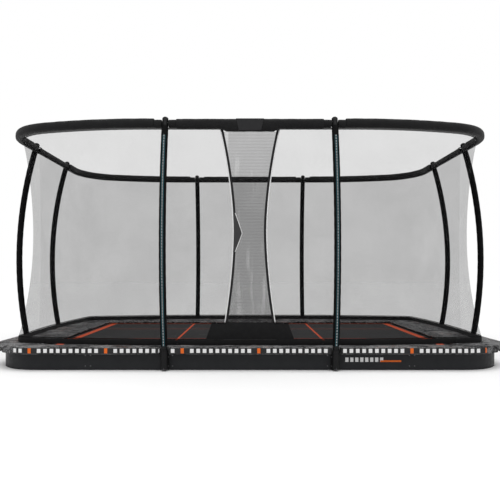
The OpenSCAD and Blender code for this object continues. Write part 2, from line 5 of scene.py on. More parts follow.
import bmesh
import bpy
import numpy as np
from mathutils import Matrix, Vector


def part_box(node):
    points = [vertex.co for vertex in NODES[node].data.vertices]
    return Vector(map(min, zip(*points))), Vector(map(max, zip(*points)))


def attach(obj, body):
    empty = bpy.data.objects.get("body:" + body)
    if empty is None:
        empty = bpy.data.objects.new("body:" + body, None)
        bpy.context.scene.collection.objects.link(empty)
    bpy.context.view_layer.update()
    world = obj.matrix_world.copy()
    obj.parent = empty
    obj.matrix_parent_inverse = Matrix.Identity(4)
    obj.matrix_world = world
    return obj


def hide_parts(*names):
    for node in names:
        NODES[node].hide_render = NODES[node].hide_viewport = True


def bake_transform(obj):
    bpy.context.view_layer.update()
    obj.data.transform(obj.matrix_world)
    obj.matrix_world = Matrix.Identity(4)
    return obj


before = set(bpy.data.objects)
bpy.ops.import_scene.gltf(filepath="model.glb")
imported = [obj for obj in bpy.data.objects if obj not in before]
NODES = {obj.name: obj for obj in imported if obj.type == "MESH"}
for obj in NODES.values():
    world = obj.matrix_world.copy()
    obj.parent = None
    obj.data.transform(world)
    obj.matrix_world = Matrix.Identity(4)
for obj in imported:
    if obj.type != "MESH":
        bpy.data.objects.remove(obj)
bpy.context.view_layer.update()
FRAME_BODY = "frame_body"
MAT_BODY = "mat_body"
FLAP_BODY = "flap_body"

# ---- sizes, the same as the CAD part's ----

TUBE_R = 0.020
RING_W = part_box("ring_tubes")[1].y - TUBE_R
RING_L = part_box("ring_tubes")[1].x - TUBE_R
RING_Z = (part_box("ring_tubes")[0].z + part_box("ring_tubes")[1].z) / 2
RING_BEND = 0.985
RING_R = 3.900
RING_CORNER = 0.552
HEM_IN = 0.030
POST_X = 0.811
POST_Y = 0.495
LONG_OUT = 0.060
SHORT_OUT = 0.108
NECK_END = 0.106
POST_R = 4.450
BOW_Z = 1.070
KINK_Z = 0.185
TOP_OUT = 0.009
SLEEVE_Z = 0.238
NET_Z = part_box("net_right")[0].z
NET_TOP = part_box("net_right")[1].z
NET_H = NET_TOP - NET_Z
NET_PULL = 0.130
PULL_SPAN = 0.13
FOOT_W = 1.420
FOOT_L = 2.440
GAP_TOP = 0.262
GAP_WAIST = 0.138
GAP_LOW = 0.250
WAIST_Z = 1.330
SKIRT_LOW, SKIRT_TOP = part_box("skirt_right")[0].z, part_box("skirt_right")[1].z
MAT_X, MAT_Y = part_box("mat")[1].x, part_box("mat")[1].y
MAT_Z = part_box("mat")[1].z
MAT_T = 0.003
MAT_R = 0.205
SPRING_PITCH = 0.125
PAD_OUT_X, PAD_OUT_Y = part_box("pad_right")[1].x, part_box("pad_back")[1].y
PAD_IN_X, PAD_IN_Y = 2.080, 1.212

# ---- outlines of the ring and the net ----


class Outline:
    """A quarter outline: straight, wide bend, corner, straight."""

    def __init__(self, inset):
        self.w, self.l = RING_W - inset, RING_L - inset
        self.bend, self.r, self.corner = RING_BEND, RING_R - inset, RING_CORNER - inset
        self.turn = math.asin((RING_L - RING_BEND - RING_CORNER) / (RING_R - RING_CORNER))
        self.s1 = self.bend
        self.s2 = self.s1 + self.r * self.turn
        self.s4 = self.s2 + self.corner * (math.pi / 2 - self.turn)
        self.corner_y = (-self.w + self.r * (1 - math.cos(self.turn))
                         + self.corner * math.cos(self.turn))
        self.total = self.s4 - self.corner_y

    def at(self, s):
        if s < self.s1:
            return np.array([s, -self.w])
        if s < self.s2:
            a = (s - self.s1) / self.r
            return np.array([self.bend + self.r * math.sin(a),
                             -self.w + self.r * (1 - math.cos(a))])
        if s < self.s4:
            a = self.turn + (s - self.s2) / self.corner
            return np.array([self.l - self.corner + self.corner * math.sin(a),
                             self.corner_y - self.corner * math.cos(a)])
        return np.array([self.l, self.corner_y + s - self.s4])

    def along(self, t):
        if t <= 1:
            return self.at(t * self.total)
        x, y = self.at((2 - t) * self.total)
        return np.array([x, -y])


RING = Outline(0)
HEM = Outline(HEM_IN)
FOOT = np.array([[0, -FOOT_W], [0.600, -FOOT_W], [1.150, 0.010 - FOOT_W],
                 [1.700, 0.088 - FOOT_W], [2.120, 0.160 - FOOT_W],
                 [FOOT_L - 0.135, 0.200 - FOOT_W], [FOOT_L - 0.070, 0.270 - FOOT_W],
                 [FOOT_L - 0.048, -0.950], [FOOT_L - 0.018, -0.500], [FOOT_L, 0]])
FOOT_LEN = np.concatenate([[0], np.cumsum(np.linalg.norm(np.diff(FOOT, axis=0), axis=1))])


def foot_point(i):
    last = len(FOOT) - 1
    if i < 0:
        return FOOT[-i] * [-1, 1]
    return FOOT[2 * last - i] * [1, -1] if i > last else FOOT[i]


def foot_along(t):
    back = t > 1
    s = (2 - t if back else t) * FOOT_LEN[-1]
    i = min(max(int(np.searchsorted(FOOT_LEN, s)) - 1, 0), len(FOOT) - 2)
    u = (s - FOOT_LEN[i]) / (FOOT_LEN[i + 1] - FOOT_LEN[i])
    a, b, c, d = (foot_point(i + k) for k in (-1, 0, 1, 2))
    p = 0.5 * (2 * b + u * (c - a) + u * u * (2 * a - 5 * b + 4 * c - d)
               + u ** 3 * (3 * b - a - 3 * c + d))
    return p * [1, -1] if back else p


CORNER_T = (RING.s2 + RING.s4) / 2 / RING.total
SEAM_T = 1 - POST_Y / HEM.total


def net_at(t, h):
    k = (min(t, 2 - t) - CORNER_T) / PULL_SPAN
    pull = NET_PULL * max(math.sin(math.pi * min(max(h, 0), 1)), 0) ** 0.8 * math.exp(-k * k)
    side = np.array([-0.7, 0.7 if t < 1 else -0.7])
    return (1 - h) * foot_along(t) + h * HEM.along(t) + pull * side


def gap(z):
    k = (WAIST_Z - z) / (NET_TOP - WAIST_Z if z > WAIST_Z else WAIST_Z - NET_Z)
    end = GAP_TOP if k < 0 else GAP_LOW
    return GAP_WAIST + (end - GAP_WAIST) * abs(k) ** 1.75


# ---- mesh helpers ----


def piece(name, points, faces, material, body, pat=None, smooth=True):
    """A mesh that rides on a body; pat holds each point's place on the cloth."""
    mesh = bpy.data.meshes.new(name)
    mesh.from_pydata([tuple(map(float, p)) for p in points], [], [tuple(f) for f in faces])
    mesh.validate()
    mesh.polygons.foreach_set("use_smooth", [smooth] * len(mesh.polygons))
    if pat is not None:
        a = mesh.attributes.new("pat", "FLOAT_VECTOR", "POINT")
        a.data.foreach_set("vector", np.array(pat, np.float32).ravel())
    mesh.materials.append(material)
    obj = bpy.data.objects.new(name, mesh)
    bpy.context.scene.collection.objects.link(obj)
    if body:
        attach(obj, body)
    return obj


def grid_faces(cols, rows, start=0, wrap=False, flip=False):
    """Faces of rows+1 lines of cols+1 points (cols points where it wraps)."""
    w = cols if wrap else cols + 1
    out = []
    for j in range(rows):
        for i in range(cols):
            k = (i + 1) % w if wrap else i + 1
            f = [start + j * w + i, start + j * w + k,
                 start + (j + 1) * w + k, start + (j + 1) * w + i]
            out.append(f[::-1] if flip else f)
    return out


def mirrored(points, x=False, y=False):
    return np.array(points) * [-1 if x else 1, -1 if y else 1, 1]


def frames_of(line):
    """Tangent, outward side and up at each point of a line that runs mostly level."""
    tangent = np.gradient(line, axis=0)
    tangent /= np.linalg.norm(tangent, axis=1)[:, None]
    side = np.cross(tangent, [0, 0, 1.0])
    side /= np.maximum(np.linalg.norm(side, axis=1), 1e-9)[:, None]
    return tangent, side, np.cross(side, tangent)


def plan_frame(line):
    """Distance along a line in plan, and its outward normal, at each point."""
    line = np.array(line, float)
    steps = np.linalg.norm(np.diff(line, axis=0), axis=1)
    tangent = np.gradient(line, axis=0)
    tangent /= np.linalg.norm(tangent, axis=1)[:, None]
    normal = np.stack([tangent[:, 1], -tangent[:, 0]], 1)
    return np.concatenate([[0], np.cumsum(steps)]), normal


def tube(line, radius, sides=8, side=None, up=None):
    """Points and faces of a closed-ended tube along a line."""
    line = np.array(line, float)
    if side is None:
        _, side, up = frames_of(line)
    a = np.linspace(0, 2 * math.pi, sides, endpoint=False)
    r = np.broadcast_to(np.asarray(radius, float), (len(line),))
    points = [p + r[i] * (math.cos(x) * side[i] + math.sin(x) * up[i])
              for i, p in enumerate(line) for x in a]
    faces = grid_faces(sides, len(line) - 1, wrap=True)
    faces.append(list(range(sides))[::-1])
    faces.append(list(range((len(line) - 1) * sides, len(line) * sides)))
    return points, faces


def joined(parts):
    """One list of points and faces out of several."""
    points, faces = [], []
    for p, f in parts:
        n = len(points)
        points.extend(p)
        faces.extend([[k + n for k in q] for q in f])
    return points, faces


# ---- material helpers ----


class Look:
    """A procedural material under construction."""

    def __init__(self, name, colour, rough, **sockets):
        self.mat = bpy.data.materials.new(name)
        self.mat.use_nodes = True
        self.tree = self.mat.node_tree
        self.shader = self.tree.nodes["Principled BSDF"]
        self.shader.inputs["Base Color"].default_value = (*colour, 1)
        self.shader.inputs["Roughness"].default_value = rough
        sockets.setdefault("Specular_IOR_Level", 0.16)
        for key, value in sockets.items():
            self.shader.inputs[key.replace("_", " ")].default_value = value

    def put(self, value, socket):
        if isinstance(value, bpy.types.NodeSocket):
            self.tree.links.new(value, socket)
        else:
            socket.default_value = value

    def node(self, kind, **inputs):
        n = self.tree.nodes.new(kind)
        for key, value in inputs.items():
            self.put(value, n.inputs[key.replace("_", " ")])
        return n

    def math(self, op, a, b=0.0, c=0.0):
        n = self.tree.nodes.new("ShaderNodeMath")
        n.operation = op
        for k, value in enumerate((a, b, c)):
            self.put(value, n.inputs[k])
        return n.outputs[0]

    def place(self):
        return self.node("ShaderNodeTexCoord").outputs["Object"]

    def axes(self, vector):
        n = self.node("ShaderNodeSeparateXYZ", Vector=vector)
        return n.outputs["X"], n.outputs["Y"], n.outputs["Z"]

    def pat(self):
        n = self.tree.nodes.new("ShaderNodeAttribute")
        n.attribute_name = "pat"
        return self.axes(n.outputs["Vector"])

    def noise(self, scale, detail=3.0, vector=None, rough=0.5):
        n = self.node("ShaderNodeTexNoise", Vector=vector or self.place(), Scale=scale,
                      Detail=detail, Roughness=rough)
        return n.outputs["Fac"]

    def near(self, x, middle, half):
        """1 where x is within half of middle."""
        return self.math("COMPARE", x, middle, half)

    def every(self, x, pitch, shift=0.0):
        return self.math("FLOORED_MODULO", self.math("ADD", x, shift), pitch)

    def wave(self, x, pitch):
        return self.math("SINE", self.math("MULTIPLY", x, 2 * math.pi / pitch))

    def mix(self, fac, a, b):
        n = self.tree.nodes.new("ShaderNodeMix")
        n.data_type = "RGBA"
        self.put(fac, n.inputs[0])
        self.put(a if isinstance(a, bpy.types.NodeSocket) else (*a, 1), n.inputs[6])
        self.put(b if isinstance(b, bpy.types.NodeSocket) else (*b, 1), n.inputs[7])
        return n.outputs[2]

    def span(self, x, low, high, to_low, to_high):
        n = self.node("ShaderNodeMapRange")
        for key, value in zip(("Value", "From Min", "From Max", "To Min", "To Max"),
                              (x, low, high, to_low, to_high)):
            self.put(value, n.inputs[key])
        return n.outputs[0]

    def colour(self, socket):
        self.put(socket, self.shader.inputs["Base Color"])

    def rough(self, socket):
        self.put(socket, self.shader.inputs["Roughness"])

    def bump(self, height, distance, strength=0.6):
        n = self.node("ShaderNodeBump", Height=height, Distance=distance, Strength=strength)
        self.put(n.outputs["Normal"], self.shader.inputs["Normal"])


ORANGE = (0.66, 0.125, 0.016)
WHITE = (0.72, 0.72, 0.72)
TEAL = (0.024, 0.120, 0.145)
MAT_ORANGE = (0.52, 0.078, 0.030)


def coated_steel():
    """Charcoal powder coat, a little uneven."""
    m = Look("coated_steel", (0.018, 0.019, 0.021), 0.5)
    m.colour(m.mix(m.noise(9), (0.015, 0.016, 0.018), (0.024, 0.025, 0.027)))
    m.rough(m.span(m.noise(30), 0.3, 0.7, 0.42, 0.6))
    m.bump(m.noise(900, 2), 0.0002, 0.35)
    return m.mat


def wall_steel():
    """Coated sheet with plain white blocks and an orange line on the front's right."""
    m = Look("wall_steel", (0.018, 0.019, 0.021), 0.5)
    x, y, z = m.axes(m.place())
    front = m.math("LESS_THAN", y, -1.49)
    block = m.math("LESS_THAN", m.every(x, 0.0475, -0.910), 0.031)
    white = m.math("MULTIPLY", m.near(x, 1.100, 0.190), m.near(z, 0.098, 0.021))
    white = m.math("MULTIPLY", m.math("MULTIPLY", white, block), front)
    orange = m.math("MULTIPLY", m.near(x, 1.345, 0.100), m.near(z, 0.084, 0.008))
    orange = m.math("MULTIPLY", orange, front)
    base = m.mix(m.noise(9), (0.015, 0.016, 0.018), (0.024, 0.025, 0.027))
    m.colour(m.mix(orange, m.mix(white, base, WHITE), ORANGE))
    m.rough(m.span(m.noise(30), 0.3, 0.7, 0.42, 0.6))
    m.bump(m.noise(900, 2), 0.0002, 0.35)
    return m.mat


def zinc():
    """Bright plated wire."""
    m = Look("zinc", (0.55, 0.57, 0.60), 0.35, Metallic=1.0, Specular_IOR_Level=0.5)
    m.colour(m.mix(m.noise(60), (0.42, 0.44, 0.47), (0.66, 0.68, 0.71)))
    m.rough(m.span(m.noise(120), 0.3, 0.7, 0.28, 0.5))
    m.bump(m.noise(700, 2), 0.0001, 0.3)
    return m.mat


def bolt_steel():
    """Darker plated bolt heads."""
    m = Look("bolt_steel", (0.10, 0.10, 0.105), 0.45, Metallic=1.0, Specular_IOR_Level=0.5)
    m.colour(m.mix(m.noise(80), (0.07, 0.07, 0.074), (0.14, 0.14, 0.147)))
    m.rough(m.span(m.noise(150), 0.3, 0.7, 0.38, 0.58))
    m.bump(m.noise(900, 2), 0.0001, 0.3)
    return m.mat


def post_paint():
    """Satin black paint."""
    m = Look("post_paint", (0.008, 0.008, 0.0085), 0.4)
    m.colour(m.mix(m.noise(14), (0.005, 0.005, 0.0055), (0.010, 0.010, 0.0105)))
    m.rough(m.span(m.noise(50), 0.3, 0.7, 0.33, 0.5))
    m.bump(m.noise(800, 2), 0.0001, 0.3)
    return m.mat


def moulded(name, colour, rough):
    """Moulded plastic with a fine grain."""
    m = Look(name, colour, rough)
    lighter = tuple(c * 1.35 for c in colour)
    m.colour(m.mix(m.noise(40), colour, lighter))
    m.rough(m.span(m.noise(90), 0.3, 0.7, rough - 0.06, rough + 0.08))
    m.bump(m.noise(1400, 2), 0.0001, 0.4)
    return m.mat


def cloth(name, low, high, rough=0.75, thread=0.0012, stitch=None):
    """Woven coated cloth; stitch is the across distance of a stitched row."""
    m = Look(name, low, rough, Sheen_Weight=0.08, Sheen_Roughness=0.5)
    x, y, z = m.axes(m.place())
    u = m.math("ADD", x, y)
    v = m.math("ADD", z, m.math("SUBTRACT", x, y))
    weave = m.math("MULTIPLY", m.wave(u, thread), m.wave(v, thread))
    m.colour(m.mix(m.noise(7, 4), low, high))
    m.rough(m.span(m.noise(25), 0.3, 0.7, rough - 0.08, rough + 0.08))
    folds = m.math("MULTIPLY", m.noise(18, 3), 6.0)
    height = m.math("ADD", folds, m.math("MULTIPLY", weave, 0.25))
    if stitch is not None:
        s, across, _ = m.pat()
        row = m.near(across, stitch, 0.0016)
        dash = m.math("LESS_THAN", m.every(s, 0.008), 0.005)
        height = m.math("SUBTRACT", height, m.math("MULTIPLY", m.math("MULTIPLY", row, dash), 3.0))
    m.bump(height, 0.0004, 0.5)
    return m.mat


def mesh_cloth(name, cover, colour, cover_top=None):
    """Open knitted mesh with its hems; cover is its mean opacity low down."""
    m = Look(name, colour, 0.8, Specular_IOR_Level=0.08)
    s, z, _ = m.pat()
    pitch = 0.0032
    knit = m.math("MULTIPLY", m.wave(s, pitch), m.wave(z, pitch))
    alpha = m.span(knit, -1.0, 1.0, cover - 0.14, cover + 0.14)
    if cover_top is not None:
        rise = m.span(z, 1.5, NET_TOP, 0.0, cover_top - cover)
        ribs = m.math("MULTIPLY", m.wave(z, 0.030), 0.02)
        alpha = m.math("ADD", m.math("ADD", alpha, rise), ribs)
        # crease: soft lighter spots where the flap is creased. They are a painted highlight, made
        # by thinning the mesh's opacity, not folds in the cloth.
        along = m.node("ShaderNodeMapping", Vector=m.place(), Scale=(13.0, 1.0, 1.9))
        crease = m.span(m.noise(1.0, 2, along.outputs[0]), 0.56, 0.74, 0.0, 0.16)
        alpha = m.math("SUBTRACT", alpha, crease)
    alpha = m.math("ADD", alpha, m.span(m.noise(2.5, 2), 0.3, 0.7, -0.02, 0.02))
    hem = m.math("MAXIMUM", m.math("LESS_THAN", z, NET_Z + 0.012),
                 m.math("GREATER_THAN", z, NET_TOP - 0.014))
    m.put(m.math("MAXIMUM", alpha, m.math("MULTIPLY", hem, 0.92)), m.shader.inputs["Alpha"])
    m.bump(knit, 0.0002, 0.4)
    return m.mat


def sleeve_print():
    """Black woven sleeve with a narrow printed strip down its outer side."""
    m = Look("sleeve_print", (0.005, 0.005, 0.0055), 0.75, Specular_IOR_Level=0.06)
    s, around, _ = m.pat()
    printed = m.near(s, 1.228, 1.002)
    strip = m.math("MULTIPLY", m.near(around, 0.0, 0.0112), printed)
    edge = m.math("SUBTRACT", strip, m.math("MULTIPLY", m.near(around, 0.0, 0.0080), printed))
    dash = m.math("LESS_THAN", m.every(s, 0.027), 0.016)
    white = m.math("MULTIPLY", m.near(around, 0.0, 0.0034), m.math("MULTIPLY", dash, printed))
    base = m.mix(m.noise(20), (0.0025, 0.0025, 0.0028), (0.006, 0.006, 0.0064))
    base = m.mix(strip, base, (0.016, 0.018, 0.019))
    col = m.mix(edge, base, TEAL)
    m.colour(m.mix(white, col, (0.42, 0.44, 0.45)))
    weave = m.math("MULTIPLY", m.wave(s, 0.0014), m.wave(around, 0.0014))
    m.bump(m.math("ADD", m.math("MULTIPLY", m.noise(14), 5.0), weave), 0.0004, 0.5)
    return m.mat


def mat_weave():
    """Woven jumping mat with its orange lines."""
    m = Look("mat_weave", (0.04, 0.04, 0.041), 0.72)
    x, y, _ = m.axes(m.place())
    ax, ay = m.math("ABSOLUTE", x), m.math("ABSOLUTE", y)
    bold = m.near(ax, 2.005, 0.0385)
    along = m.near(ax, 0.824, 0.0125)
    across = m.math("MAXIMUM", m.near(ay, 1.200, 0.011), m.near(ay, 0.510, 0.005))
    lines = m.math("MAXIMUM", bold, m.math("MAXIMUM", along, across))
    weave = m.math("MULTIPLY", m.wave(x, 0.004), m.wave(y, 0.004))
    base = m.mix(m.noise(5, 4), (0.021, 0.021, 0.0215), (0.032, 0.032, 0.0325))
    seam = m.math("MAXIMUM", m.near(ay, 0.760, 0.004), m.near(ay, 0.0, 0.004))
    base = m.mix(seam, base, (0.016, 0.016, 0.017))
    m.colour(m.mix(lines, base, MAT_ORANGE))
    m.bump(weave, 0.0006, 0.6)
    return m.mat


STRIP_Z = 0.194
STRIP_PERIOD, STRIP_SHIFT, DASH_PITCH = 0.720, -0.083, 0.060
BAR_HALF, BAR_TALL = 0.015, 0.0240
DASH_HALF, DASH_TALL = 0.0170, 0.0190


def pad_print():
    """Coated pad cover: smoky print on top, printed strip down the outer side."""
    m = Look("pad_print", (0.045, 0.045, 0.047), 0.5)
    s, height, strip = m.pat()
    x, y, _ = m.axes(m.place())
    inner = m.math("MAXIMUM", m.math("SUBTRACT", m.math("ABSOLUTE", x), PAD_IN_X),
                   m.math("SUBTRACT", m.math("ABSOLUTE", y), PAD_IN_Y))
    smoke = m.noise(4.2, 8, rough=0.66)
    fine = m.noise(38, 6, rough=0.65)
    tone = m.math("ADD", m.math("MULTIPLY", smoke, 0.62), m.math("MULTIPLY", fine, 0.38))
    top = m.mix(m.span(tone, 0.46, 0.56, 0.0, 1.0), (0.006, 0.006, 0.007), (0.15, 0.15, 0.153))
    vein = m.near(m.noise(13, 6, rough=0.62), 0.5, 0.010)
    vein = m.math("MULTIPLY", vein, m.span(m.noise(6, 2), 0.40, 0.60, 0.1, 1.0))
    top = m.mix(vein, top, (0.33, 0.33, 0.33))
    for scale, width, gate, colour in ((5.5, 0.014, 0.47, (0.34, 0.33, 0.32)),
                                       (2.6, 0.004, 0.54, (0.36, 0.10, 0.035))):
        crack = m.tree.nodes.new("ShaderNodeTexVoronoi")
        crack.feature = "DISTANCE_TO_EDGE"
        bend = m.node("ShaderNodeVectorMath", Vector=m.place())
        wander = m.node("ShaderNodeTexNoise", Vector=m.place(), Scale=9.0, Detail=3.0)
        m.put(wander.outputs["Color"], bend.inputs[1])
        m.put(bend.outputs[0], crack.inputs["Vector"])
        crack.inputs["Scale"].default_value = scale
        line = m.math("LESS_THAN", crack.outputs["Distance"], width)
        line = m.math("MULTIPLY", line, m.math("GREATER_THAN", m.noise(3.1, 2), gate))
        top = m.mix(line, top, colour)
    for number, place in enumerate((0.030, 0.068, 0.106)):
        row = m.near(inner, place, 0.010)
        dash = m.math("LESS_THAN", m.every(s, 0.052, 0.017 * number), 0.031)
        worn = m.span(m.noise(21, 3), 0.38, 0.56, 0.15, 1.0)
        top = m.mix(m.near(inner, place, 0.015), top, (0.009, 0.009, 0.010))
        top = m.mix(m.math("MULTIPLY", m.math("MULTIPLY", row, dash), worn), top,
                    (0.24, 0.24, 0.243))
    side = m.mix(m.noise(12), (0.016, 0.016, 0.017), (0.026, 0.026, 0.027))
    middle = STRIP_PERIOD / 2
    period = m.every(s, STRIP_PERIOD, STRIP_SHIFT + middle)
    bar = m.near(period, middle, BAR_HALF)
    away = m.math("ABSOLUTE", m.math("SUBTRACT", period, middle))
    away = m.math("GREATER_THAN", away, DASH_PITCH)
    dash = m.near(m.every(period, DASH_PITCH), DASH_PITCH / 2, DASH_HALF)
    dash = m.math("MULTIPLY", m.math("MULTIPLY", away, dash), m.near(height, STRIP_Z, DASH_TALL))
    side = m.mix(dash, side, WHITE)
    side = m.mix(m.math("MULTIPLY", bar, m.near(height, STRIP_Z, BAR_TALL)), side, ORANGE)
    m.colour(m.mix(strip, top, side))
    m.rough(m.span(m.noise(18), 0.3, 0.7, 0.42, 0.62))
    m.bump(m.math("ADD", m.math("MULTIPLY", m.noise(11, 4), 8.0), m.noise(500, 2)), 0.0006, 0.5)
    return m.mat


STEEL = coated_steel()
WALL = wall_steel()
ZINC = zinc()
BOLT = bolt_steel()
PAINT = post_paint()
CAP = moulded("cap_plastic", (0.010, 0.010, 0.0105), 0.5)
TOGGLE = moulded("toggle_plastic", (0.010, 0.010, 0.011), 0.4)
BADGE = moulded("badge_plastic", (0.017, 0.017, 0.018), 0.55)
RING_CLOTH = cloth("ring_cloth", (0.004, 0.004, 0.0043), (0.0095, 0.0095, 0.010), stitch=0.0)
SKIRT_CLOTH = cloth("skirt_cloth", (0.004, 0.004, 0.0044), (0.009, 0.009, 0.0095), stitch=0.012)
BINDING = cloth("binding", (0.009, 0.009, 0.010), (0.015, 0.015, 0.016), stitch=0.004)
TAB_CLOTH = cloth("tab_cloth", (0.036, 0.036, 0.037), (0.048, 0.048, 0.049))
PIPING = moulded("piping_white", (0.66, 0.66, 0.66), 0.5)
SLEEVE = sleeve_print()
NET = mesh_cloth("net_mesh", 0.275, (0.008, 0.008, 0.0085))
FAR_NET = mesh_cloth("far_net_mesh", 0.330, (0.008, 0.008, 0.0085))
FLAP = mesh_cloth("flap_mesh", 0.62, (0.012, 0.012, 0.0125), 0.54)
WEAVE = mat_weave()
PADS = pad_print()

for name, node in NODES.items():
    if name in ("wall_bolts", "socket_bolts"):
        look = BOLT
    elif name in ("ring_spigots", "ring_tubes"):
        look = PAINT
    elif name.startswith("wall_"):
        look = WALL
    elif name.startswith("frame_"):
        look = STEEL
    elif name == "post_caps":
        look = CAP
    elif name == "skirt_toggles":
        look = TOGGLE
    elif name.startswith("post_"):
        look = PAINT
    else:
        continue
    node.data.materials.clear()
    node.data.materials.append(look)

# ---- nets ----

HEM_TUCK = 0.014
NET_ROWS = 56
GATHER = 0.0022
GATHER_FADE = 0.10
SLACK = 0.003
SEAM_CALM = 0.08


def net_panel(name, first, last, cols, x=False, y=False):
    """A hung panel between two places along the outline, gathered at its hems."""
    rows, points, pat = NET_ROWS, [], []
    for j in range(rows + 1):
        h = j / rows
        t0 = first(h)
        line = [t0 + (last - t0) * i / cols for i in range(cols + 1)]
        flat = np.array([net_at(t, h) for t in line])
        s, normal = plan_frame(flat)
        gather = GATHER * (math.exp(-h * NET_H / GATHER_FADE)
                           + math.exp(-(1 - h) * NET_H / GATHER_FADE))
        slack = SLACK * math.sin(math.pi * h)
        for i in range(cols + 1):
            calm = min(1, s[i] / SEAM_CALM, (s[-1] - s[i]) / SEAM_CALM)
            move = calm * (gather * math.sin(s[i] * 95 + 2.1 * math.sin(s[i] * 9))
                           + slack * math.sin(s[i] * 5.2 + 3 * h))
            p = flat[i] + normal[i] * move
            tuck = HEM_TUCK if j == rows else 0
            points.append((p[0], p[1], NET_Z + h * NET_H + tuck))
            pat.append((s[i], NET_Z + h * NET_H, min(s[i], s[-1] - s[i])))
    obj = piece("soft_" + name, mirrored(points, x, y), grid_faces(cols, rows, flip=x != y),
                NET if "front" in name else FAR_NET, FRAME_BODY, pat)
    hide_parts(name)


def gap_start(h):
    return gap(NET_Z + h * NET_H) / HEM.total


net_panel("net_front_right", gap_start, SEAM_T, 150)
net_panel("net_front_left", gap_start, SEAM_T, 150, x=True)
net_panel("net_right", lambda h: SEAM_T, 2 - SEAM_T, 40)
net_panel("net_left", lambda h: SEAM_T, 2 - SEAM_T, 40, x=True)
net_panel("net_back_right", lambda h: 2 - SEAM_T, 2.0, 150)
net_panel("net_back_left", lambda h: 2 - SEAM_T, 2.0, 150, x=True)

# ---- band at the net's foot ----

SKIRT_COLS, SKIRT_ROWS = 420, 6
SKIRT_SWELL = 0.0022
SKIRT_RUFFLE = 0.0016


def skirt(name, x=False):
    """Half of the dark band around the net's foot, ruffled along its lower edge."""
    cols, rows, points, pat = SKIRT_COLS, SKIRT_ROWS, [], []
    line = np.array([foot_along(2 * i / cols) for i in range(cols + 1)])
    s, normal = plan_frame(line)
    for j in range(rows + 1):
        z = SKIRT_LOW + (SKIRT_TOP - SKIRT_LOW) * j / rows
        swell = SKIRT_SWELL * math.sin(math.pi * j / rows)
        for i in range(cols + 1):
            ruffle = SKIRT_RUFFLE * math.sin(s[i] * 70) * (1 - j / rows)
            p = line[i] + normal[i] * (swell + ruffle)
            points.append((p[0], p[1], z))
            pat.append((s[i], z - SKIRT_LOW, 0))
    obj = piece("soft_" + name, mirrored(points, x), grid_faces(cols, rows, flip=x),
                SKIRT_CLOTH, FRAME_BODY, pat)
    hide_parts(name)


skirt("skirt_right")
skirt("skirt_left", x=True)

# ---- entrance, in the leaning plane of the front net ----

# The flap ends under the bindings, closer in than its CAD solid does.
FLAP_OVER = 0.018
FLAP_LOW = 0.070
FLAP_SHORT = 0.090
FLAP_BEHIND = 0.0080
FLAP_FOLD = 0.0022
LEAN = math.atan((FOOT_W - RING_W + HEM_IN) / NET_H)


def on_front(u, v, out):
    """Row-frame point u across, v up from the net's lower edge and out toward outside."""
    return (u, -FOOT_W + v * math.sin(LEAN) - out * math.cos(LEAN),
            NET_Z + v * math.cos(LEAN) + out * math.sin(LEAN))


def curve_rows(low, high, n):
    return [low + (high - low) * i / n for i in range(n + 1)]


def entrance_flap():
    """The hourglass sheet that hangs inside the entrance."""
    cols, rows, points, pat = 40, 90, [], []
    for v in curve_rows(FLAP_LOW, FLAP_LOW + NET_H - FLAP_SHORT, rows):
        half = gap(NET_Z + v) + FLAP_OVER
        k = (v - FLAP_LOW) / (NET_H - FLAP_SHORT)
        for i in range(cols + 1):
            u = -half + 2 * half * i / cols
            calm = math.sin(math.pi * i / cols)
            fold = FLAP_FOLD * calm * math.sin(math.pi * k) * math.sin(u * 46 + 5 * v)
            points.append(on_front(u, v, fold - FLAP_BEHIND))
            pat.append((u + 1, NET_Z + v, half - abs(u)))
    obj = piece("soft_flap", points, grid_faces(cols, rows), FLAP, FLAP_BODY, pat)
    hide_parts("entrance_flap")


BINDING_LOW = 0.171
# Distance past the gap's edge and distance out, across the binding's crowned section.
BINDING_SECTION = ((-0.004, 0.0034), (0.001, 0.0058), (0.009, 0.0064),
                   (0.017, 0.0058), (0.022, 0.0034))
PIPING_PAST, PIPING_OUT, PIPING_R = 0.0235, 0.0048, 0.0052


def piping(name, line, radius):
    """White piping sewn along an edge in the plane of the front net."""
    across = np.tile([1.0, 0.0, 0.0], (len(line), 1))
    ahead = np.tile([0.0, -1.0, 0.0], (len(line), 1))
    p, f = tube(line, radius, 8, across, ahead)
    piece(name, p, f, PIPING, FRAME_BODY)


def entrance_edges():
    """The two dark bindings beside the gap, each piped along its outer edge."""
    rows = 90
    for m, side in ((-1, "left"), (1, "right")):
        points, pat = [], []
        for v in curve_rows(BINDING_LOW, NET_H - 0.002, rows):
            g = gap(NET_Z + v)
            for past, out in BINDING_SECTION:
                points.append(on_front(m * (g + past), v, out))
                pat.append((v, past + 0.004, 0))
        band = piece("binding_" + side, points, grid_faces(4, rows, flip=m < 0), BINDING,
                     FRAME_BODY, pat)
        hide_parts("entrance_edges")
        piping("piping_" + side,
               [on_front(m * (gap(NET_Z + v) + PIPING_PAST), v, PIPING_OUT)
                for v in curve_rows(BINDING_LOW, NET_H - 0.004, rows)], PIPING_R)


PANEL_LOW, PANEL_TOP = 0.002, 0.161
PANEL_HALF, PANEL_TAPER = 0.430, 0.058
PANEL_MID, PANEL_RISE, PANEL_RAMP = 0.245, 0.009, 0.030
PANEL_OUT = 0.0048


